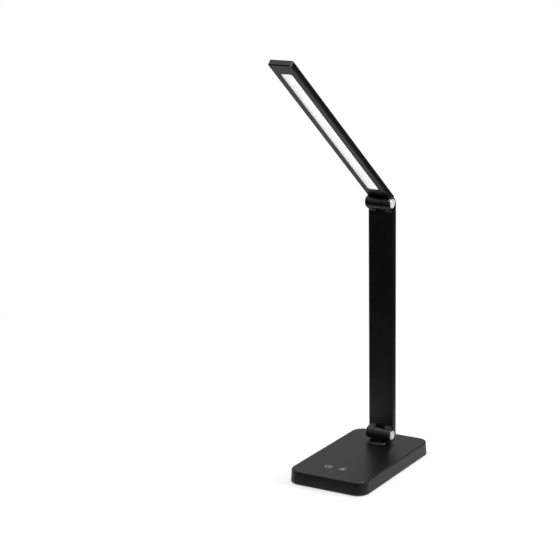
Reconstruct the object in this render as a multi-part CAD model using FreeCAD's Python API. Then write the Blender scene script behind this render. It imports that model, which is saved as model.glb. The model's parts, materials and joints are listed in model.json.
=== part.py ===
import FreeCAD, Part
import math
import os

Vector = FreeCAD.Vector

# Base slab: a drafted, round-cornered cover over a bottom plate
base_length = 145.0
base_width = 84.5
base_height = 14.0
base_corner = 12.5
base_draft = 0.9
top_round = 1.2
foot_round = 1.6
cover_lift = 0.3
base_wall = 1.8
roof_thickness = 1.8
pad_thickness = 1.0
pad_inset = 3.0
plate_thickness = 1.8
plate_gap = 0.2

# Screws that hold the bottom plate to posts under the roof
post_inset = 8.0
post_radius = 3.6
screw_radius = 1.3
screw_head_radius = 2.5
screw_head_height = 0.9
screw_reach = 4.5

# Counterweight and battery
weight_side_gap = 4.3
weight_front_gap = 15.8
weight_back_gap = 19.5
weight_thickness = 3.0
weight_corner = 3.0
battery_side_gap = 11.0
battery_front_gap = 2.0
battery_back_gap = 25.5
battery_thickness = 5.6
battery_corner = 2.0

# Control board under the touch icons
board_side_gap = 15.3
board_front_gap = 11.8
board_depth = 24.0
board_thickness = 1.2
boss_radius = 2.5
boss_side_inset = 5.0
boss_front_inset = 4.0
small_screw_radius = 0.9
small_head_radius = 1.6
small_head_height = 0.8
small_screw_reach = 1.6
chip_width = 6.0
chip_height = 1.2
chip_pitch = 10.0
foam_radius = 4.0
foam_height = 1.9
icon_radius = 3.7
icon_stroke = 0.9
icon_depth = 0.4
power_icon_x = -10.4
brightness_icon_x = 5.0
icon_inset = 27.5
icon_opening_deg = 35.0
lamp_dot_radius = 1.5
ray_length = 1.2
ray_count = 8

# Charging socket in the back edge
socket_width = 8.94
socket_height = 3.16
socket_depth = 7.4
socket_skin = 0.3
socket_back = 0.8
socket_gap = 0.22
tongue_width = 6.69
tongue_thickness = 0.7
tongue_setback = 0.6
socket_board_width = 18.0
socket_board_depth = 10.5
socket_board_thickness = 1.0
socket_board_lift = 1.6
socket_post_radius = 2.0
socket_post_x = 6.0
socket_post_inset = 3.0

# Leads
base_lead_radius = 0.75
base_lead_bend = 1.4
lane_inset = 1.3
lead_overlap = 3.0
lead_turn_gap = 2.3
battery_lead_x = 4.0
battery_lead_length = 7.0
arm_lead_radius = 1.1
head_lead_radius = 0.6

# Swivel between base and arm
hinge_inset = 29.2
swivel_rest_deg = -4.0
bushing_radius = 7.0
bushing_wall = 1.5
flange_radius = 9.0
flange_thickness = 1.0
disc_radius = 12.0
disc_thickness = 1.2
disc_bevel = 0.6
step_radius = 9.5
step_height = 0.2
neck_width = 9.2
neck_depth = 10.0
neck_corner = 1.5
stub_bore = 3.0
lead_exit_radius = 1.5
washer_thickness = 0.6
washer_radius = 8.5
nut_flats = 17.0
nut_height = 2.8

# Hinge barrels at both ends of the arm
hinge_rise = 8.7
barrel_radius = 6.8
barrel_bevel = 1.2
knuckle_width = 9.8
knuckle_gap = 0.5
slot_clear = 1.2
pin_radius = 2.0
pin_end_gap = 0.1
friction_washer_thickness = 0.4
friction_washer_radius = 6.0
cap_radius = 4.7
cap_depth = 2.0
cap_bevel = 0.5
cap_land = 0.5
cap_dish = 0.4

# Arm
arm_reach = 237.0
arm_width = 28.3
arm_thickness = 6.0
arm_edge_round = 0.8
root_round = 4.0
arm_front_wall = 1.2
arm_side_wall = 1.4
arm_ledge = 1.15
arm_end_block = 16.0
arm_cover_thickness = 1.2
panel_gap = 0.15
tab_length = 8.0
tab_height = 2.2
tab_thickness = 1.0
tab_gap = 0.1
arm_tab_shares = (0.15, 0.5, 0.85)
arm_recess_depth = 0.8
arm_recess_flat = 0.3
arm_recess_slope = 1.2

# Head with the light panel
head_angle_deg = 41.0
head_reach = 225.0
head_width = 25.1
head_thickness = 6.0
head_rise = 2.0
head_gap = 0.35
head_edge_round = 1.0
head_tip_corner = 1.5
bezel_thickness = 1.2
head_skin = 1.2
head_wall = 1.4
head_block_end = 17.5
hood_cut = 7.2
head_recess_end = 12.3
head_recess_depth = 0.5
window_width = 12.4
window_start = 19.1
window_tip_gap = 13.7
window_corner = 2.5
window_gap = 0.1
diffuser_inset = 0.3
diffuser_flange = 0.8
diffuser_lip = 1.4
rib_thickness = 0.8
led_board_width = 10.4
led_board_thickness = 1.0
led_board_start = 18.5
led_tip_gap = 8.0
led_width = 2.8
led_length = 3.5
led_height = 0.7
led_margin = 6.0
led_count = 30
head_tab_height = 2.0
head_tab_shares = (0.12, 0.37, 0.63, 0.88)
leaf_tongue_width = 9.0
leaf_tongue_thickness = 1.4
leaf_tongue_end = 16.5
leaf_tongue_drop = 0.9
leaf_screw_spots = (9.7, 13.8)
leaf_screw_reach = 1.2
lead_groove_x = 3.0

# Fits and small allowances
fit_gap = 0.02
running_gap = 0.05
tip_gap = 0.3
overrun = 1.0
touch = 0.001

# Heights and places that follow from the sizes above
roof_low = base_height - roof_thickness
plate_top = pad_thickness + plate_thickness
weight_top = plate_top + weight_thickness
board_top = roof_low - foam_height
board_low = board_top - board_thickness
cavity_x = base_width / 2 - base_draft - base_wall
cavity_y = base_length / 2 - base_draft - base_wall
cavity_corner = max(base_corner - base_draft - base_wall, post_radius / 2)
post_x = cavity_x - post_inset
post_y = cavity_y - post_inset
hinge_y = base_length / 2 - hinge_inset
icon_y = icon_inset - base_length / 2
weight_x = cavity_x - weight_side_gap
weight_front = weight_front_gap - cavity_y
weight_back = hinge_y - weight_back_gap
board_x = cavity_x - board_side_gap
board_front = board_front_gap - cavity_y
board_back = board_front + board_depth
board_y = board_front + board_depth / 2
boss_x = board_x - boss_side_inset
boss_y = board_front + boss_front_inset
battery_x = weight_x - battery_side_gap
battery_front = board_back + battery_front_gap
battery_back = hinge_y - battery_back_gap
lead_end_x = board_x - lead_overlap
socket_board_top = plate_top + socket_board_lift + socket_board_thickness
socket_z = socket_board_top + socket_height / 2
socket_mouth = base_length / 2 - base_draft
socket_board_back = cavity_y - socket_board_thickness
socket_board_front = socket_board_back - socket_board_depth
lead_turn_y = socket_board_front - lead_turn_gap
lower_axis = base_height + hinge_rise
upper_axis = lower_axis + arm_reach
stub_radius = bushing_radius - bushing_wall - running_gap
nut_top = roof_low - flange_thickness - running_gap - washer_thickness
slot_half = knuckle_width / 2 + knuckle_gap
arm_front = barrel_radius - arm_thickness
panel_face = barrel_radius + head_rise - head_thickness
outer_face = barrel_radius + head_rise
bezel_top = panel_face + bezel_thickness
skin_low = outer_face - head_skin
hood_radius = barrel_radius + head_gap
window_end = head_reach - window_tip_gap
led_board_end = head_reach - led_tip_gap


def box(x0, x1, y0, y1, z0, z1):
    return Part.makeBox(x1 - x0, y1 - y0, z1 - z0, Vector(x0, y0, z0))


def rod_z(x, y, z0, z1, radius):
    return Part.makeCylinder(radius, z1 - z0, Vector(x, y, z0), Vector(0, 0, 1))


def rod_x(x0, x1, y, z, radius):
    return Part.makeCylinder(radius, x1 - x0, Vector(x0, y, z), Vector(1, 0, 0))


def rounded_wire(half_x, half_y, corner, z):
    """Rectangle with round corners, centred on the Z axis."""
    corner = min(corner, half_x - touch, half_y - touch)
    flat_x = half_x - corner
    flat_y = half_y - corner
    diagonal = corner * math.sqrt(0.5)
    edges = []
    for turn_x, turn_y, ahead in ((1, 1, "y"), (-1, 1, "x"), (-1, -1, "y"), (1, -1, "x")):
        side = Vector(turn_x * half_x, turn_y * flat_y, z)
        end = Vector(turn_x * flat_x, turn_y * half_y, z)
        middle = Vector(turn_x * (flat_x + diagonal), turn_y * (flat_y + diagonal), z)
        first, last = (side, end) if ahead == "y" else (end, side)
        if edges:
            edges.append(Part.makeLine(edges[-1].lastVertex(True).Point, first))
        edges.append(Part.Arc(first, middle, last).toShape())
    edges.append(Part.makeLine(edges[-1].lastVertex(True).Point, edges[0].firstVertex(True).Point))
    return Part.Wire(edges)


def rounded_prism(half_x, half_y, corner, z0, z1):
    return Part.Face(rounded_wire(half_x, half_y, corner, z0)).extrude(Vector(0, 0, z1 - z0))


def moved(shape, x, y, z):
    shape.translate(Vector(x, y, z))
    return shape


def laid_back(shape):
    """Turn an upright shape so that its top points to the front."""
    shape.rotate(Vector(0, 0, 0), Vector(1, 0, 0), 90)
    return shape


def turned(outline, along):
    """Solid of revolution about the X or the Z axis from (place, radius) points."""
    if along == "x":
        points = [Vector(place, 0, radius) for place, radius in outline]
        axis = Vector(1, 0, 0)
    else:
        points = [Vector(radius, 0, place) for place, radius in outline]
        axis = Vector(0, 0, 1)
    face = Part.Face(Part.makePolygon(points + points[:1]))
    return face.revolve(Vector(0, 0, 0), axis, 360)


def both_sides(shape):
    return [shape, shape.mirror(Vector(0, 0, 0), Vector(1, 0, 0))]


def unit(vector):
    return vector * (1 / vector.Length)


def lead(points, radius, bend):
    """Round wire along straight runs joined by bends."""
    edges = []
    start = points[0]
    for before, corner, after in zip(points, points[1:], points[2:]):
        back = unit(before - corner)
        ahead = unit(after - corner)
        bisector = unit(back + ahead)
        half_angle = back.getAngle(ahead) / 2
        setback = bend / math.tan(half_angle)
        middle = corner + bisector * (bend / math.sin(half_angle) - bend)
        edges.append(Part.makeLine(start, corner + back * setback))
        edges.append(Part.Arc(corner + back * setback, middle, corner + ahead * setback).toShape())
        start = corner + ahead * setback
    edges.append(Part.makeLine(start, points[-1]))
    ring = Part.Wire(Part.makeCircle(radius, points[0], points[1] - points[0]))
    return Part.Wire(edges).makePipeShell([ring], True, False)


def edges_at(shape, z):
    return [edge for edge in shape.Edges if all(abs(v.Point.z - z) < touch for v in edge.Vertexes)]


def corner_spots(x, y):
    return [(side_x * x, side_y * y) for side_x in (-1, 1) for side_y in (-1, 1)]


def screw(x, y, head_low, head_height, head_radius, shank_radius, reach):
    head = rod_z(x, y, head_low, head_low + head_height, head_radius)
    return head.fuse(rod_z(x, y, head_low, head_low + head_height + reach, shank_radius))


def power_icon_shape(z0, z1):
    """Open ring with an upright bar in its opening."""
    ring = rod_z(0, 0, z0, z1, icon_radius).cut(rod_z(0, 0, z0, z1, icon_radius - icon_stroke))
    spread = icon_radius * math.tan(math.radians(icon_opening_deg))
    wedge = Part.Face(Part.makePolygon([
        Vector(0, 0, z0),
        Vector(2 * spread, 2 * icon_radius, z0),
        Vector(-2 * spread, 2 * icon_radius, z0),
        Vector(0, 0, z0),
    ])).extrude(Vector(0, 0, z1 - z0))
    bar = box(-icon_stroke / 2, icon_stroke / 2, 0, icon_radius, z0, z1)
    return moved(ring.cut(wedge).fuse(bar), power_icon_x, icon_y, 0)


def brightness_icon_shape(z0, z1):
    """Dot with rays round it."""
    pieces = [rod_z(0, 0, z0, z1, lamp_dot_radius)]
    for number in range(ray_count):
        ray = box(-icon_stroke / 2, icon_stroke / 2, icon_radius - ray_length, icon_radius, z0, z1)
        ray.rotate(Vector(0, 0, 0), Vector(0, 0, 1), 360 * number / ray_count)
        pieces.append(ray)
    return moved(Part.makeCompound(pieces), brightness_icon_x, icon_y, 0)


def socket_prism(half_width, half_height, y0, y1):
    """Slot-shaped bar across the back wall at the socket's height."""
    bar = laid_back(rounded_prism(half_width, half_height, half_height, -y1, -y0))
    return moved(bar, 0, 0, socket_z)


def base_cover():
    foot = rounded_wire(base_width / 2, base_length / 2, base_corner, cover_lift)
    top_x = base_width / 2 - base_draft
    top_y = base_length / 2 - base_draft
    top = rounded_wire(top_x, top_y, base_corner - base_draft, base_height)
    slab = Part.makeLoft([foot, top], True, True)
    slab = slab.makeFillet(min(top_round, roof_thickness * 2 / 3), edges_at(slab, base_height))
    slab = slab.makeFillet(min(foot_round, (base_wall + base_draft) * 3 / 4), edges_at(slab, cover_lift))
    cavity = rounded_prism(cavity_x, cavity_y, cavity_corner, cover_lift - overrun, roof_low)
    posts = [rod_z(x, y, plate_top, roof_low + touch, post_radius) for x, y in corner_spots(post_x, post_y)]
    bosses = [rod_z(x, boss_y, board_top, roof_low + touch, boss_radius) for x in (-boss_x, boss_x)]
    slab = slab.cut(cavity).fuse(posts + bosses)
    holes = [
        rod_z(x, y, plate_top, plate_top + screw_reach + tip_gap, screw_radius + fit_gap)
        for x, y in corner_spots(post_x, post_y)
    ]
    holes += [
        rod_z(x, boss_y, board_top, board_top + small_screw_reach + tip_gap, small_screw_radius + fit_gap)
        for x in (-boss_x, boss_x)
    ]
    holes.append(rod_z(0, hinge_y, roof_low, base_height + overrun, bushing_radius + fit_gap))
    holes.append(power_icon_shape(base_height - icon_depth, base_height + overrun))
    holes.append(brightness_icon_shape(base_height - icon_depth, base_height + overrun))
    slot_x = socket_width / 2 + socket_gap
    slot_z = socket_height / 2 + socket_gap
    holes.append(socket_prism(slot_x, slot_z, cavity_y - overrun, base_length / 2 + overrun))
    return slab.cut(holes)


def anti_slip_pad():
    inset = plate_gap + pad_inset
    return rounded_prism(cavity_x - inset, cavity_y - inset, cavity_corner - inset, 0, pad_thickness)


def base_bottom_plate():
    plate_x = cavity_x - plate_gap
    plate_y = cavity_y - plate_gap
    plate = rounded_prism(plate_x, plate_y, cavity_corner - plate_gap, pad_thickness, plate_top)
    post_y_place = socket_board_front + socket_post_inset
    posts = [
        rod_z(x, post_y_place, pad_thickness, plate_top + socket_board_lift, socket_post_radius)
        for x in (-socket_post_x, socket_post_x)
    ]
    holes = []
    for x, y in corner_spots(post_x, post_y):
        holes.append(rod_z(x, y, pad_thickness, plate_top + overrun, screw_radius + fit_gap))
        seat = pad_thickness + screw_head_height
        holes.append(rod_z(x, y, pad_thickness - overrun, seat, screw_head_radius + plate_gap))
    return plate.fuse(posts).cut(holes)


def base_screws():
    reach = plate_thickness - screw_head_height + screw_reach
    return Part.makeCompound([
        screw(x, y, pad_thickness, screw_head_height, screw_head_radius, screw_radius, reach)
        for x, y in corner_spots(post_x, post_y)
    ])


def counterweight():
    half_length = (weight_back - weight_front) / 2
    block = rounded_prism(weight_x, half_length, weight_corner, plate_top, weight_top)
    return moved(block, 0, weight_front + half_length, 0)


def battery_pack():
    half_length = (battery_back - battery_front) / 2
    top = weight_top + battery_thickness
    pack = rounded_prism(battery_x, half_length, battery_corner, weight_top, top)
    return moved(pack, 0, battery_front + half_length, 0)


def battery_leads():
    height = weight_top + base_lead_radius
    end = battery_front - battery_lead_length
    return Part.makeCompound([
        lead([Vector(x, battery_front, height), Vector(x, end, height)], base_lead_radius, 0)
        for x in (-battery_lead_x, battery_lead_x)
    ])


def control_board():
    board = box(-board_x, board_x, board_front, board_back, board_low, board_top)
    radius = small_screw_radius + fit_gap
    return board.cut([rod_z(x, boss_y, board_low, board_top, radius) for x in (-boss_x, boss_x)])


def control_chips():
    half = chip_width / 2
    return Part.makeCompound([
        box(x - half, x + half, board_y - half, board_y + half, board_low - chip_height, board_low)
        for x in (-chip_pitch, 0, chip_pitch)
    ])


def board_screws():
    low = board_low - small_head_height
    reach = board_thickness + small_screw_reach
    return Part.makeCompound([
        screw(x, boss_y, low, small_head_height, small_head_radius, small_screw_radius, reach)
        for x in (-boss_x, boss_x)
    ])


def touch_foam_pads():
    return Part.makeCompound([
        rod_z(x, icon_y, board_top, roof_low, foam_radius) for x in (power_icon_x, brightness_icon_x)
    ])


def charging_socket_shell():
    start = socket_mouth - socket_depth
    shell = socket_prism(socket_width / 2, socket_height / 2, start, socket_mouth)
    inner_x = socket_width / 2 - socket_skin
    inner_z = socket_height / 2 - socket_skin
    return shell.cut(socket_prism(inner_x, inner_z, start + socket_back, socket_mouth + overrun))


def charging_socket_tongue():
    start = socket_mouth - socket_depth + socket_back
    half = tongue_thickness / 2
    end = socket_mouth - tongue_setback
    return box(-tongue_width / 2, tongue_width / 2, start, end, socket_z - half, socket_z + half)


def socket_board():
    low = plate_top + socket_board_lift
    half = socket_board_width / 2
    return box(-half, half, socket_board_front, socket_board_back, low, socket_board_top)


def lead_lane():
    """Side distance and height of the leads that run beside the counterweight."""
    return cavity_x - lane_inset, plate_top + base_lead_radius


def lead_rise(side):
    """Last corners of a lead that climbs over the counterweight to the board."""
    lane_x, low = lead_lane()
    high = weight_top + base_lead_radius
    return [
        Vector(side * lane_x, board_y, low),
        Vector(side * lane_x, board_y, high),
        Vector(side * lead_end_x, board_y, high),
    ]


def lead_bend():
    return min(base_lead_bend, weight_thickness / 2 - touch)


def charge_lead():
    lane_x, low = lead_lane()
    start_y = socket_board_back - socket_board_depth / 2
    run = [
        Vector(0, start_y, low),
        Vector(0, lead_turn_y, low),
        Vector(lane_x, lead_turn_y, low),
    ]
    return lead(run + lead_rise(1), base_lead_radius, lead_bend())


def lamp_lead():
    lane_x, low = lead_lane()
    run = lead_rise(-1)[::-1] + [
        Vector(-lane_x, hinge_y, low),
        Vector(0, hinge_y, low),
        Vector(0, hinge_y, roof_low),
    ]
    return lead(run, base_lead_radius, lead_bend())


def swivel_bushing():
    sleeve = rod_z(0, hinge_y, roof_low - flange_thickness, base_height, bushing_radius)
    flange = rod_z(0, hinge_y, roof_low - flange_thickness, roof_low, flange_radius)
    bore = rod_z(0, hinge_y, 0, base_height + overrun, bushing_radius - bushing_wall)
    return sleeve.fuse(flange).cut(bore)


def swivel_bracket():
    low = base_height + running_gap
    top = low + disc_thickness
    foot = turned([
        (nut_top - nut_height, 0),
        (nut_top - nut_height, stub_radius),
        (low, stub_radius),
        (low, disc_radius),
        (top - disc_bevel, disc_radius),
        (top, disc_radius - disc_bevel),
        (top, step_radius),
        (top + step_height, step_radius - step_height),
        (top + step_height, 0),
    ], "z")
    neck = rounded_prism(neck_width / 2, neck_depth / 2, neck_corner, low + disc_thickness / 2, lower_axis)
    bore_top = lower_axis - barrel_radius / 2
    bore = rod_z(0, 0, 0, bore_top, stub_bore)
    exit_z = (top + step_height + bore_top) / 2
    lead_exit = laid_back(rod_z(0, 0, -neck_depth, 0, lead_exit_radius))
    body = foot.fuse(neck)
    body = body.fuse(rod_x(-knuckle_width / 2, knuckle_width / 2, 0, lower_axis, barrel_radius))
    pin_hole = rod_x(-knuckle_width, knuckle_width, 0, lower_axis, pin_radius + running_gap)
    return moved(body.cut([bore, moved(lead_exit, 0, 0, exit_z), pin_hole]), 0, hinge_y, 0)


def swivel_spring_washer():
    ring = rod_z(0, hinge_y, nut_top, nut_top + washer_thickness, washer_radius)
    return ring.cut(rod_z(0, hinge_y, 0, base_height, stub_radius + fit_gap))


def swivel_nut():
    radius = nut_flats / math.sqrt(3)
    corners = [math.radians(60 * number) for number in range(7)]
    outline = [Vector(radius * math.cos(a), radius * math.sin(a), nut_top - nut_height) for a in corners]
    nut = moved(Part.Face(Part.makePolygon(outline)).extrude(Vector(0, 0, nut_height)), 0, hinge_y, 0)
    return nut.cut(rod_z(0, hinge_y, 0, base_height, stub_radius + fit_gap))


def root_fillet():
    """Hollow rounding between a barrel and the front face of the arm above it."""
    centre_y = arm_front - root_round
    centre_z = math.sqrt((barrel_radius + root_round) ** 2 - centre_y ** 2)
    centre = Vector(0, centre_y, centre_z)
    to_barrel = unit(centre * -1)
    to_face = Vector(0, 1, 0)
    on_barrel = centre + to_barrel * root_round
    on_face = centre + to_face * root_round
    middle = centre + unit(to_barrel + to_face) * root_round
    inside = Vector(0, arm_front + arm_thickness / 2, centre_z)
    axis = Vector(0, 0, 0)
    wire = Part.Wire([
        Part.Arc(on_face, middle, on_barrel).toShape(),
        Part.makeLine(on_barrel, axis),
        Part.makeLine(axis, inside),
        Part.makeLine(inside, on_face),
    ])
    start = Vector(slot_half, 0, 0)
    strip = Part.Face(wire).extrude(Vector(arm_width / 2 - barrel_bevel - slot_half, 0, 0))
    strip.translate(start)
    return both_sides(strip)


def outer_knuckles():
    end = arm_width / 2
    ring = turned([
        (slot_half, 0),
        (slot_half, barrel_radius),
        (end - barrel_bevel, barrel_radius),
        (end, barrel_radius - barrel_bevel),
        (end, 0),
    ], "x")
    return both_sides(ring)


def arm_end():
    """Barrel and roundings at the lower end, with the axis at the origin."""
    return outer_knuckles() + root_fillet()


def arm_recess():
    """Shallow relief in the arm's front face that slopes out above the slot."""
    outside = arm_front - overrun
    floor = arm_front + arm_recess_depth
    flat_end = barrel_radius + slot_clear + arm_recess_flat
    slope_end = flat_end + arm_recess_slope
    outline = [
        (outside, 0),
        (floor, 0),
        (floor, flat_end),
        (arm_front, slope_end),
        (outside, slope_end),
        (outside, 0),
    ]
    wire = Part.makePolygon([Vector(-slot_half, y, z) for y, z in outline])
    return Part.Face(wire).extrude(Vector(2 * slot_half, 0, 0))


def arm_end_cuts():
    end = arm_width / 2
    cap_seat = end - cap_depth
    slot = rod_x(-slot_half, slot_half, 0, 0, barrel_radius + slot_clear)
    bore = rod_x(-end, end, 0, 0, pin_radius + fit_gap)
    seats = both_sides(rod_x(cap_seat, end + overrun, 0, 0, cap_radius + running_gap))
    lead_y = arm_front + arm_front_wall + arm_lead_radius
    lead_hole = rod_z(0, lead_y, 0, arm_end_block + arm_ledge + overrun, arm_lead_radius + tab_gap)
    return [slot, arm_recess(), bore, lead_hole] + seats


def at_lower(shapes):
    return [moved(shape, 0, hinge_y, lower_axis) for shape in shapes]


def at_upper(shapes):
    """Upside-down copy of a lower arm end at the upper axis."""
    flipped = [shape.mirror(Vector(0, 0, 0), Vector(0, 0, 1)) for shape in shapes]
    return [moved(shape, 0, hinge_y, upper_axis) for shape in flipped]


def arm_pocket():
    """Half widths and the lower and upper ends of the arm's hollow."""
    cover_half = arm_width / 2 - arm_side_wall
    return cover_half, cover_half - arm_ledge, lower_axis + arm_end_block, upper_axis - arm_end_block


def arm_front_shell():
    slab = rounded_prism(arm_width / 2, arm_thickness / 2, arm_edge_round, lower_axis, upper_axis)
    slab = moved(slab, 0, hinge_y + arm_front + arm_thickness / 2, 0)
    slab = slab.fuse(at_lower(arm_end()) + at_upper(arm_end()))
    slab = slab.cut(at_lower(arm_end_cuts()) + at_upper(arm_end_cuts()))
    cover_half, channel_half, low, high = arm_pocket()
    back = hinge_y + barrel_radius
    seat = back - arm_cover_thickness
    channel_front = hinge_y + arm_front + arm_front_wall
    pocket = box(-cover_half, cover_half, seat, back + overrun, low, high)
    ledge_low = low + arm_ledge
    ledge_high = high - arm_ledge
    channel = box(-channel_half, channel_half, channel_front, back, ledge_low, ledge_high)
    return slab.cut([pocket, channel])


def arm_back_cover():
    cover_half, channel_half, low, high = arm_pocket()
    back = hinge_y + barrel_radius
    seat = back - arm_cover_thickness
    half = cover_half - panel_gap
    cover = box(-half, half, seat, back, low + panel_gap, high - panel_gap)
    outer = channel_half - tab_gap
    tabs = []
    for share in arm_tab_shares:
        middle = low + share * (high - low)
        tab_low = middle - tab_length / 2
        tab = box(outer - tab_thickness, outer, seat - tab_height, seat, tab_low, tab_low + tab_length)
        tabs += both_sides(tab)
    return cover.fuse(tabs)


def arm_lead():
    lead_y = hinge_y + arm_front + arm_front_wall + arm_lead_radius
    clear = barrel_radius + slot_clear
    return rod_z(0, lead_y, lower_axis + clear, upper_axis - clear, arm_lead_radius)


def hinge_pin(axis_z):
    half = arm_width / 2 - cap_depth - pin_end_gap
    return rod_x(-half, half, hinge_y, axis_z, pin_radius)


def friction_washers(axis_z):
    start = slot_half - (knuckle_gap + friction_washer_thickness) / 2
    end = start + friction_washer_thickness
    ring = rod_x(start, end, hinge_y, axis_z, friction_washer_radius)
    ring = ring.cut(rod_x(0, arm_width, hinge_y, axis_z, pin_radius + running_gap))
    return Part.makeCompound(both_sides(ring))


def hinge_caps(axis_z):
    end = arm_width / 2
    rim = cap_radius - cap_bevel
    cap = turned([
        (end - cap_depth, 0),
        (end - cap_depth, cap_radius),
        (end - cap_bevel, cap_radius),
        (end, rim),
        (end, rim - cap_land),
        (end - cap_dish, 0),
    ], "x")
    return moved(Part.makeCompound(both_sides(cap)), 0, hinge_y, axis_z)


def head_box(x0, x1, s0, s1, n0, n1):
    """Block in the head's own frame: s runs from the axis to the tip, n to the outer face."""
    return box(x0, x1, -s1, -s0, n0, n1)


def set_head(shape):
    """Lift the head to its rest angle at the upper axis."""
    shape.rotate(Vector(0, 0, 0), Vector(1, 0, 0), -head_angle_deg)
    return moved(shape, 0, hinge_y, upper_axis)


def head_solid():
    """Outer form of the head: round edges all the way, round tip corners, hood over the barrel."""
    half = head_width / 2
    middle = panel_face + head_thickness / 2
    bar = laid_back(rounded_prism(half, head_thickness / 2, head_edge_round, 0, head_reach))
    bar = moved(bar, 0, 0, middle)
    plan = rounded_prism(half, head_reach, head_tip_corner, panel_face - overrun, outer_face + overrun)
    side = rounded_prism(head_thickness / 2, head_reach, head_edge_round, -half - overrun, half + overrun)
    side.rotate(Vector(0, 0, 0), Vector(0, 1, 0), 90)
    bar = bar.common(plan).common(moved(side, 0, 0, middle))
    return bar.cut([
        rod_x(-head_width, head_width, 0, 0, hood_radius),
        head_box(-slot_half, slot_half, -overrun, hood_cut, panel_face - overrun, outer_face + overrun),
    ])


def window_prism(gap, n0, n1):
    half_length = (window_end - window_start) / 2
    prism = rounded_prism(window_width / 2 - gap, half_length - gap, window_corner - gap, n0, n1)
    return moved(prism, 0, -(window_start + half_length), 0)


def tongue_span():
    """Lower and upper face of the hinge leaf's tongue."""
    top = skin_low - leaf_tongue_drop
    return top - leaf_tongue_thickness, top


def head_housing():
    half = head_width / 2
    inner = half - head_wall
    body = head_solid().common(head_box(-half, half, -overrun, head_reach, bezel_top, outer_face + overrun))
    tip = head_reach - head_wall
    body = body.cut(head_box(-inner, inner, head_block_end, tip, bezel_top - overrun, skin_low))
    rib_start = led_board_width / 2 + tab_gap
    rib_low = bezel_top + diffuser_flange + running_gap
    rib_end = rib_start + rib_thickness
    rib = head_box(rib_start, rib_end, head_block_end, tip, rib_low, skin_low)
    body = body.fuse(both_sides(rib))
    tongue_low, tongue_top = tongue_span()
    wide = leaf_tongue_width / 2 + tab_gap
    pocket_end = leaf_tongue_end + tab_gap
    recess_low = outer_face - head_recess_depth
    cuts = [
        head_box(-wide, wide, 0, pocket_end, tongue_low, tongue_top),
        head_box(-slot_half, slot_half, 0, head_recess_end, recess_low, outer_face + overrun),
    ]
    groove_half = head_lead_radius + tab_gap
    groove_top = bezel_top + 2 * head_lead_radius
    cuts.append(head_box(
        lead_groove_x - groove_half, lead_groove_x + groove_half, 0, head_block_end + overrun,
        bezel_top - overrun, groove_top,
    ))
    for spot in leaf_screw_spots:
        cuts.append(rod_z(0, -spot, bezel_top, tongue_low, small_screw_radius + fit_gap))
        seat = bezel_top + small_head_height
        cuts.append(rod_z(0, -spot, bezel_top - overrun, seat, small_head_radius + running_gap))
    return set_head(body.cut(cuts))


def head_bezel():
    half = head_width / 2
    plate = head_solid().common(head_box(-half, half, 0, head_reach, panel_face, bezel_top))
    plate = plate.cut(window_prism(0, panel_face - overrun, bezel_top + overrun))
    outer = half - head_wall - tab_gap
    span = head_reach - head_wall - head_block_end
    tabs = []
    for share in head_tab_shares:
        start = head_block_end + share * span - tab_length / 2
        end = start + tab_length
        tab = head_box(outer - tab_thickness, outer, start, end, bezel_top, bezel_top + head_tab_height)
        tabs += both_sides(tab)
    return set_head(plate.fuse(tabs))


def diffuser():
    plug = window_prism(window_gap, panel_face + diffuser_inset, bezel_top)
    half = window_width / 2 + diffuser_lip
    start = window_start - diffuser_lip
    end = window_end + diffuser_lip
    return set_head(plug.fuse(head_box(-half, half, start, end, bezel_top, bezel_top + diffuser_flange)))


def led_board():
    half = led_board_width / 2
    low = skin_low - led_board_thickness
    return set_head(head_box(-half, half, led_board_start, led_board_end, low, skin_low))


def led_chips():
    half = led_width / 2
    top = skin_low - led_board_thickness
    first = led_board_start + led_margin
    pitch = (led_board_end - led_margin - led_length - first) / (led_count - 1)
    chips = []
    for number in range(led_count):
        start = first + number * pitch
        chips.append(head_box(-half, half, start, start + led_length, top - led_height, top))
    return set_head(Part.makeCompound(chips))


def head_hinge_leaf():
    half = knuckle_width / 2
    tongue_low, tongue_top = tongue_span()
    wide = leaf_tongue_width / 2
    leaf = rod_x(-half, half, 0, 0, barrel_radius)
    leaf = leaf.fuse(head_box(-wide, wide, 0, leaf_tongue_end, tongue_low, tongue_top))
    holes = [rod_x(-knuckle_width, knuckle_width, 0, 0, pin_radius + running_gap)]
    for spot in leaf_screw_spots:
        holes.append(rod_z(0, -spot, tongue_low, tongue_top, small_screw_radius + fit_gap))
    return set_head(leaf.cut(holes))


def leaf_screws():
    tongue_low, tongue_top = tongue_span()
    reach = tongue_low - bezel_top - small_head_height + leaf_screw_reach
    return set_head(Part.makeCompound([
        screw(0, -spot, bezel_top, small_head_height, small_head_radius, small_screw_radius, reach)
        for spot in leaf_screw_spots
    ]))


def head_lead():
    height = bezel_top + head_lead_radius
    end = window_start - diffuser_lip - tab_gap
    wire = laid_back(rod_z(0, 0, hood_cut, end, head_lead_radius))
    return set_head(moved(wire, lead_groove_x, 0, height))


base_nodes = {
    "base_cover": base_cover(),
    "anti_slip_pad": anti_slip_pad(),
    "base_bottom_plate": base_bottom_plate(),
    "base_screws": base_screws(),
    "counterweight": counterweight(),
    "battery_pack": battery_pack(),
    "battery_leads": battery_leads(),
    "control_board": control_board(),
    "control_chips": control_chips(),
    "board_screws": board_screws(),
    "touch_foam_pads": touch_foam_pads(),
    "power_icon": power_icon_shape(base_height - icon_depth, base_height),
    "brightness_icon": brightness_icon_shape(base_height - icon_depth, base_height),
    "charging_socket_shell": charging_socket_shell(),
    "charging_socket_tongue": charging_socket_tongue(),
    "socket_board": socket_board(),
    "charge_lead": charge_lead(),
    "lamp_lead": lamp_lead(),
    "swivel_bushing": swivel_bushing(),
}

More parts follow.
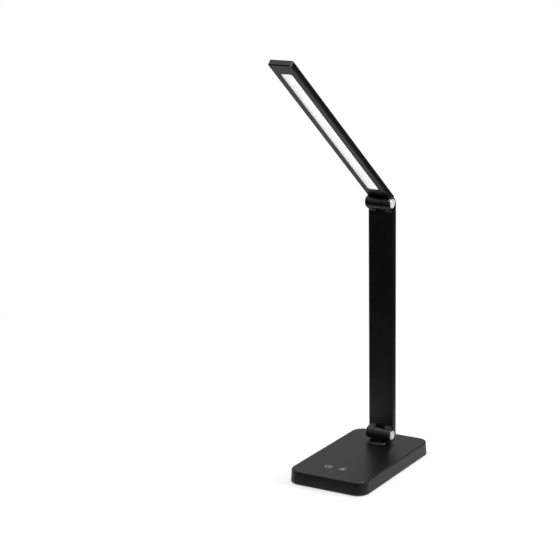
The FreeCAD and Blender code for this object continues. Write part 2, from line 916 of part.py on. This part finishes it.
swivel_nodes = {
    "swivel_bracket": swivel_bracket(),
    "swivel_spring_washer": swivel_spring_washer(),
    "swivel_nut": swivel_nut(),
    "arm_front_shell": arm_front_shell(),
    "arm_back_cover": arm_back_cover(),
    "arm_lead": arm_lead(),
    "lower_hinge_pin": hinge_pin(lower_axis),
    "lower_friction_washers": friction_washers(lower_axis),
    "lower_hinge_caps": hinge_caps(lower_axis),
    "upper_hinge_pin": hinge_pin(upper_axis),
    "upper_friction_washers": friction_washers(upper_axis),
    "upper_hinge_caps": hinge_caps(upper_axis),
    "head_housing": head_housing(),
    "head_bezel": head_bezel(),
    "diffuser": diffuser(),
    "led_board": led_board(),
    "led_chips": led_chips(),
    "head_hinge_leaf": head_hinge_leaf(),
    "leaf_screws": leaf_screws(),
    "head_lead": head_lead(),
}

# Everything on the swivel stands a few degrees aside at rest
for shape in swivel_nodes.values():
    shape.rotate(Vector(0, hinge_y, 0), Vector(0, 0, 1), swivel_rest_deg)

os.makedirs("parts", exist_ok=True)
for name, shape in list(base_nodes.items()) + list(swivel_nodes.items()):
    shape.exportStep("parts/" + name + ".step")
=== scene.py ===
import json
import math

import bpy
from mathutils import Matrix, Vector

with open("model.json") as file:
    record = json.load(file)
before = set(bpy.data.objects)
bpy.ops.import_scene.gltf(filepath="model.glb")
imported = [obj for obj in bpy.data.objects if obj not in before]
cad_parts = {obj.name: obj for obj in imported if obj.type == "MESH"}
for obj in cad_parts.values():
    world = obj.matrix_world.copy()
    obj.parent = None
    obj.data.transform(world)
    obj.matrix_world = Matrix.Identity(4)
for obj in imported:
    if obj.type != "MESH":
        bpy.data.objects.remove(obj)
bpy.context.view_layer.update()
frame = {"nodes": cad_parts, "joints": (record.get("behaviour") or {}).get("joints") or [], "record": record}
nodes = frame["nodes"]

# Camera at the photograph's viewing angle, for a square picture
IMAGE_PIXELS = 560
SENSOR_MM = 36.0
FOCAL_PIXELS = 1629.654
CAMERA_PLACE = Vector((0.722147, -1.34199, 0.566551))
CAMERA_YAW_DEG = 31.16
CAMERA_PITCH_DEG = 13.809
CAMERA_ROLL_DEG = -0.921

# Floor: half side, ring in which it turns white, share of white near the lamp, own tone
FLOOR_HALF = 6.0
FLOOR_FADE_START = 0.30
FLOOR_FADE_END = 0.75
FLOOR_WHITE_SHARE = 0.60
FLOOR_TONE = 0.72

# Even light of the room, then the softboxes: place, side in metres and power in watts
AMBIENT = 0.55
SOFTBOX_AIM = Vector((0.0, 0.0, 0.15))
SOFTBOXES = {
    "top_softbox": (Vector((0.1, 0.25, 1.3)), 1.2, 14),
    "right_softbox": (Vector((1.2, 0.5, 0.7)), 0.9, 20),
    "left_fill": (Vector((-1.2, -0.4, 0.9)), 0.9, 9),
}

# Key light that glints on the tip of the head and on the hinge caps
KEY_PLACE = Vector((0.85, -0.19, 1.12))
KEY_AIM = Vector((0.0, -0.12, 0.41))
KEY_SIDE = 0.5
KEY_WATTS = 12

# Studio as mirrored by the lamp: painted pool of light on the floor, seen only in reflections (metres from
# front to back, brightness), room overhead (height of the view, brightness) and low down (view to left or
# right, brightness)
FLOOR_PAINTED_LIGHT_TONES = (
    (-0.70, 0.01), (-0.48, 0.03), (-0.285, 0.11), (-0.13, 0.01), (-0.105, 0.26),
    (-0.07, 0.64), (0.10, 0.74), (0.21, 0.20), (0.40, 0.03), (1.20, 0.10),
)
OVERHEAD_TONES = ((0.0, 0.0), (0.35, 0.06), (0.65, 0.45), (1.0, 1.6))
LOW_TONES = ((-0.60, 0.30), (0.0, 0.22), (0.45, 0.14))

# Hinge axes, from the joints of the frame
joints = {joint["name"]: joint for joint in frame["joints"]}
LOWER_AXIS = Vector(joints["arm_tilt"]["pos_m"])
UPPER_AXIS = Vector(joints["head_tilt"]["pos_m"])
HINGE_DIRECTION = Vector(joints["head_tilt"]["axis"])

# Glow of the light panel across its width (metres from its middle, brightness)
PANEL_GLOW = ((-0.0062, 0.07), (-0.0045, 0.20), (-0.0020, 0.38), (0.0062, 0.48))
PANEL_TONE = 0.6

# Black of the casings, darkest and lightest
DEEP_BLACK = (0.0006, 0.0006, 0.00065)
SOFT_BLACK = (0.0012, 0.0012, 0.00125)

# Range of a noise texture that carries nearly all of its values
NOISE_LOW = 0.3
NOISE_HIGH = 0.7


def grey(value):
    return (value, value, value)


class Shader:
    """A material's node tree with short ways to add and join nodes."""

    def __init__(self, name):
        self.material = bpy.data.materials.new(name)
        self.material.use_nodes = True
        self.tree = self.material.node_tree
        self.tree.nodes.clear()
        self.output = self.tree.nodes.new("ShaderNodeOutputMaterial")

    def node(self, kind, operation=None, **inputs):
        made = self.tree.nodes.new(kind)
        if operation:
            made.operation = operation
        for name, value in inputs.items():
            made.inputs[name.replace("_", " ")].default_value = value
        return made

    def join(self, source, target):
        self.tree.links.new(source, target)

    def principled(self, **inputs):
        made = self.node("ShaderNodeBsdfPrincipled", **inputs)
        self.join(made.outputs["BSDF"], self.output.inputs["Surface"])
        return made

    def place(self):
        return self.node("ShaderNodeTexCoord").outputs["Object"]

    def axis_part(self, vector, letter):
        split = self.node("ShaderNodeSeparateXYZ")
        self.join(vector, split.inputs[0])
        return split.outputs[letter]

    def vector_math(self, operation, vector, other=None):
        made = self.node("ShaderNodeVectorMath", operation)
        self.join(vector, made.inputs[0])
        if other is not None:
            made.inputs[1].default_value = other
        return made

    def math(self, operation, first, second):
        made = self.node("ShaderNodeMath", operation)
        self.join(first, made.inputs[0])
        self.join(second, made.inputs[1])
        return made.outputs["Value"]

    def noise(self, scale, detail, vector=None):
        made = self.node("ShaderNodeTexNoise", Scale=scale, Detail=detail)
        self.join(vector or self.place(), made.inputs["Vector"])
        return made.outputs["Fac"]

    def map_range(self, value, low, high, to_low=0.0, to_high=1.0):
        made = self.node("ShaderNodeMapRange", From_Min=low, From_Max=high, To_Min=to_low, To_Max=to_high)
        self.join(value, made.inputs["Value"])
        return made.outputs["Result"]

    def spread(self, factor, low, high):
        """Map a noise to a range of values."""
        return self.map_range(factor, NOISE_LOW, NOISE_HIGH, low, high)

    def tint(self, factor, dark, light):
        """Blend two colours by a noise."""
        ramp = self.node("ShaderNodeValToRGB")
        first, last = ramp.color_ramp.elements
        first.position = NOISE_LOW
        first.color = (*dark, 1)
        last.position = NOISE_HIGH
        last.color = (*light, 1)
        self.join(factor, ramp.inputs["Fac"])
        return ramp.outputs["Color"]

    def tones(self, value, stops):
        """Brightness that follows a list of (value, brightness) stops."""
        low, high = stops[0][0], stops[-1][0]
        top = max(brightness for _, brightness in stops)
        ramp = self.node("ShaderNodeValToRGB")
        elements = ramp.color_ramp.elements
        while len(elements) < len(stops):
            elements.new(1.0)
        for element, (place, brightness) in zip(elements, stops):
            element.position = (place - low) / (high - low)
            element.color = (*grey(brightness / top), 1)
        self.join(self.map_range(value, low, high), ramp.inputs["Fac"])
        scaled = self.node("ShaderNodeMath", "MULTIPLY")
        scaled.inputs[1].default_value = top
        self.join(ramp.outputs["Color"], scaled.inputs[0])
        return scaled.outputs["Value"]

    def bump(self, height, strength, depth):
        made = self.node("ShaderNodeBump", Strength=strength, Distance=depth)
        self.join(height, made.inputs["Height"])
        return made.outputs["Normal"]

    def choose(self, factor, first, second):
        """Mix two shaders: the second where the factor is 1."""
        blend = self.node("ShaderNodeMixShader")
        self.join(factor, blend.inputs["Fac"])
        self.join(first, blend.inputs[1])
        self.join(second, blend.inputs[2])
        return blend.outputs["Shader"]

    def straight_view(self, path):
        """1 for rays from the camera and rays that pass through something clear, else 0."""
        return self.math("MAXIMUM", path.outputs["Is Camera Ray"], path.outputs["Is Transmission Ray"])


class WorldShader(Shader):
    """The same for the world's node tree."""

    def __init__(self, world):
        world.use_nodes = True
        self.tree = world.node_tree
        self.tree.nodes.clear()
        self.output = self.tree.nodes.new("ShaderNodeOutputWorld")


def grained(name, dark, light, rough, grain, strength, depth):
    """Moulded, painted or soft surface: cloudy tone, uneven gloss and a fine grain."""
    shader = Shader(name)
    surface = shader.principled()
    cloud = shader.noise(38, 4)
    fine = shader.noise(grain, 3)
    shader.join(shader.tint(cloud, dark, light), surface.inputs["Base Color"])
    shader.join(shader.spread(cloud, *rough), surface.inputs["Roughness"])
    shader.join(shader.bump(fine, strength, depth), surface.inputs["Normal"])
    return shader.material


def satin_black():
    return grained("satin_black_plastic", DEEP_BLACK, SOFT_BLACK, (0.30, 0.35), 2600, 0.06, 0.00002)


def hinge_black():
    return grained("hinge_black_paint", DEEP_BLACK, SOFT_BLACK, (0.18, 0.24), 1800, 0.06, 0.00002)


def icon_grey():
    return grained("icon_grey", (0.22, 0.22, 0.225), (0.28, 0.28, 0.285), (0.4, 0.5), 1800, 0.1, 0.00002)


def pad_rubber():
    return grained("pad_rubber", grey(0.012), grey(0.022), (0.7, 0.85), 700, 0.4, 0.0001)


def lead_rubber():
    return grained("lead_rubber", grey(0.02), grey(0.04), (0.5, 0.65), 1500, 0.2, 0.00004)


def chip_black():
    return grained("chip_black", grey(0.012), grey(0.02), (0.4, 0.5), 2000, 0.2, 0.00002)


def battery_foil():
    return grained("battery_foil", (0.36, 0.37, 0.39), (0.5, 0.51, 0.53), (0.25, 0.4), 300, 0.3, 0.0001)


def foam_grey():
    return grained("foam_grey", grey(0.16), grey(0.28), (0.8, 0.95), 500, 0.6, 0.0002)


def board(name, dark, light):
    """Lacquered board, light chip or smooth moulding."""
    return grained(name, dark, light, (0.3, 0.45), 900, 0.2, 0.00003)


def turned_silver(name, axis_point):
    """Bright turned metal with fine rings round the hinge axis."""
    shader = Shader(name)
    surface = shader.principled(Metallic=0.55)
    shift = shader.vector_math("SUBTRACT", shader.place(), axis_point)
    across = shader.vector_math("CROSS_PRODUCT", shift.outputs["Vector"], HINGE_DIRECTION)
    radius = shader.vector_math("LENGTH", across.outputs["Vector"])
    rings = shader.node("ShaderNodeTexNoise", Scale=5200.0, Detail=4.0)
    rings.noise_dimensions = "1D"
    shader.join(radius.outputs["Value"], rings.inputs["W"])
    ring = rings.outputs["Fac"]
    shader.join(shader.tint(ring, (0.74, 0.74, 0.75), (0.92, 0.92, 0.93)), surface.inputs["Base Color"])
    shader.join(shader.spread(ring, 0.22, 0.36), surface.inputs["Roughness"])
    shader.join(shader.bump(ring, 0.18, 0.00003), surface.inputs["Normal"])
    return shader.material


def plain_steel(name, dark, light):
    """Plain steel with faint drawn streaks."""
    shader = Shader(name)
    surface = shader.principled(Metallic=1.0)
    stretch = shader.node("ShaderNodeMapping", Scale=(40, 900, 900))
    shader.join(shader.place(), stretch.inputs["Vector"])
    streak = shader.noise(3, 5, stretch.outputs["Vector"])
    shader.join(shader.tint(streak, dark, light), surface.inputs["Base Color"])
    shader.join(shader.spread(streak, 0.28, 0.42), surface.inputs["Roughness"])
    shader.join(shader.bump(streak, 0.08, 0.00002), surface.inputs["Normal"])
    return shader.material


def opal_panel():
    """Lit opal diffuser, a little less bright along its left edge."""
    shader = Shader("opal_diffuser")
    surface = shader.principled(Roughness=0.35, Base_Color=(*grey(PANEL_TONE), 1))
    middle = UPPER_AXIS.dot(HINGE_DIRECTION)
    across = shader.vector_math("DOT_PRODUCT", shader.place(), HINGE_DIRECTION)
    glow = shader.tones(across.outputs["Value"], [(middle + place, tone) for place, tone in PANEL_GLOW])
    cloud = shader.noise(60, 3)
    shader.join(shader.tint(cloud, grey(0.96), grey(1.0)), surface.inputs["Emission Color"])
    shader.join(glow, surface.inputs["Emission Strength"])
    shader.join(shader.bump(shader.noise(2200, 2), 0.05, 0.00002), surface.inputs["Normal"])
    return shader.material


def dress():
    """Give every node of the frame its material."""
    finishes = {
        "satin_black": satin_black(),
        "hinge_black": hinge_black(),
        "icon_grey": icon_grey(),
        "diffuser_white": opal_panel(),
        "pad_black": pad_rubber(),
        "steel": plain_steel("plain_steel", (0.42, 0.42, 0.43), (0.62, 0.62, 0.63)),
        "weight_steel": plain_steel("raw_plate", (0.2, 0.2, 0.21), (0.34, 0.34, 0.35)),
        "board_green": board("board_green", (0.02, 0.11, 0.05), (0.04, 0.17, 0.08)),
        "board_white": board("board_white", (0.74, 0.74, 0.72), (0.86, 0.86, 0.84)),
        "chip_black": chip_black(),
        "led_yellow": board("led_phosphor", (0.75, 0.6, 0.16), (0.9, 0.75, 0.26)),
        "battery_grey": battery_foil(),
        "lead_black": lead_rubber(),
        "bushing_white": board("bushing_acetal", (0.68, 0.68, 0.65), (0.8, 0.8, 0.77)),
        "foam_grey": foam_grey(),
    }
    caps = {
        "lower_hinge_caps": turned_silver("lower_cap_silver", LOWER_AXIS),
        "upper_hinge_caps": turned_silver("upper_cap_silver", UPPER_AXIS),
    }
    for subpart in frame["record"]["subparts"]:
        name = subpart["node"]
        finish = caps.get(name) or finishes[subpart["material_slot"]]
        nodes[name].data.materials.clear()
        nodes[name].data.materials.append(finish)


def floor_material():
    """Pale floor, white to the camera away from the lamp, with its shadow kept near it, and a painted pool of
    light that only reflections see.
    """
    shader = Shader("pale_floor")
    pale = shader.node("ShaderNodeBsdfDiffuse", Color=(*grey(FLOOR_TONE), 1))
    white = shader.node("ShaderNodeEmission", Color=(1, 1, 1, 1), Strength=1.0)
    painted_floor_light = shader.node("ShaderNodeEmission", Color=(1, 1, 1, 1))
    place = shader.place()
    distance = shader.vector_math("LENGTH", place).outputs["Value"]
    fade = shader.map_range(distance, FLOOR_FADE_START, FLOOR_FADE_END, FLOOR_WHITE_SHARE, 1.0)
    path = shader.node("ShaderNodeLightPath")
    whiteness = shader.math("MULTIPLY", fade, shader.straight_view(path))
    seen = shader.choose(whiteness, pale.outputs["BSDF"], white.outputs["Emission"])
    # Painted pool of light on the floor, bright behind the lamp and dark in front, shown to reflections only
    shader.join(shader.tones(shader.axis_part(place, "Y"), FLOOR_PAINTED_LIGHT_TONES), painted_floor_light.inputs["Strength"])
    surface = shader.choose(path.outputs["Is Glossy Ray"], seen, painted_floor_light.outputs["Emission"])
    shader.join(surface, shader.output.inputs["Surface"])
    return shader.material


def build_floor():
    mesh = bpy.data.meshes.new("floor")
    corners = [(x * FLOOR_HALF, y * FLOOR_HALF, 0) for x, y in ((-1, -1), (1, -1), (1, 1), (-1, 1))]
    mesh.from_pydata(corners, [], [(0, 1, 2, 3)])
    mesh.materials.append(floor_material())
    floor = bpy.data.objects.new("floor", mesh)
    bpy.context.scene.collection.objects.link(floor)


def build_world():
    """White behind the lamp, a soft even light, and a dimmer room in its reflections."""
    world = bpy.data.worlds.new("studio")
    bpy.context.scene.world = world
    shader = WorldShader(world)
    soft = shader.node("ShaderNodeBackground", Color=(1, 1, 1, 1), Strength=AMBIENT)
    white = shader.node("ShaderNodeBackground", Color=(1, 1, 1, 1), Strength=1.0)
    room = shader.node("ShaderNodeBackground", Color=(1, 1, 1, 1))
    view = shader.node("ShaderNodeTexCoord").outputs["Generated"]
    overhead = shader.tones(shader.axis_part(view, "Z"), OVERHEAD_TONES)
    low = shader.tones(shader.axis_part(view, "X"), LOW_TONES)
    shader.join(shader.math("ADD", overhead, low), room.inputs["Strength"])
    path = shader.node("ShaderNodeLightPath")
    lit = shader.choose(path.outputs["Is Glossy Ray"], soft.outputs["Background"], room.outputs["Background"])
    seen = shader.choose(shader.straight_view(path), lit, white.outputs["Background"])
    shader.join(seen, shader.output.inputs["Surface"])


def area_light(name, place, target, side, watts):
    data = bpy.data.lights.new(name, "AREA")
    data.shape = "SQUARE"
    data.size = side
    data.energy = watts
    light = bpy.data.objects.new(name, data)
    light.location = place
    light.rotation_euler = (target - place).to_track_quat("-Z", "Y").to_euler()
    bpy.context.scene.collection.objects.link(light)
    return light


def build_lights():
    """Softboxes for the floor and pale pieces, and a key light that only glints."""
    for name, (place, side, watts) in SOFTBOXES.items():
        area_light(name, place, SOFTBOX_AIM, side, watts).visible_glossy = False
    area_light("key_light", KEY_PLACE, KEY_AIM, KEY_SIDE, KEY_WATTS).visible_diffuse = False


def build_camera():
    yaw = math.radians(CAMERA_YAW_DEG)
    pitch = math.radians(CAMERA_PITCH_DEG)
    roll = math.radians(CAMERA_ROLL_DEG)
    ahead = Vector((-math.sin(yaw) * math.cos(pitch), math.cos(yaw) * math.cos(pitch), -math.sin(pitch)))
    level_right = Vector((math.cos(yaw), math.sin(yaw), 0))
    level_up = level_right.cross(ahead)
    right = level_right * math.cos(roll) + level_up * math.sin(roll)
    up = level_up * math.cos(roll) - level_right * math.sin(roll)
    data = bpy.data.cameras.new("camera")
    data.sensor_width = SENSOR_MM
    data.lens = FOCAL_PIXELS * SENSOR_MM / IMAGE_PIXELS
    data.clip_start = 0.01
    data.clip_end = 100
    camera = bpy.data.objects.new("camera", data)
    turn = Matrix((right, up, -ahead)).transposed().to_4x4()
    camera.matrix_world = Matrix.Translation(CAMERA_PLACE) @ turn
    bpy.context.scene.collection.objects.link(camera)
    bpy.context.scene.camera = camera


bpy.context.scene.view_settings.view_transform = "Standard"
dress()
build_floor()
build_world()
build_lights()
build_camera()
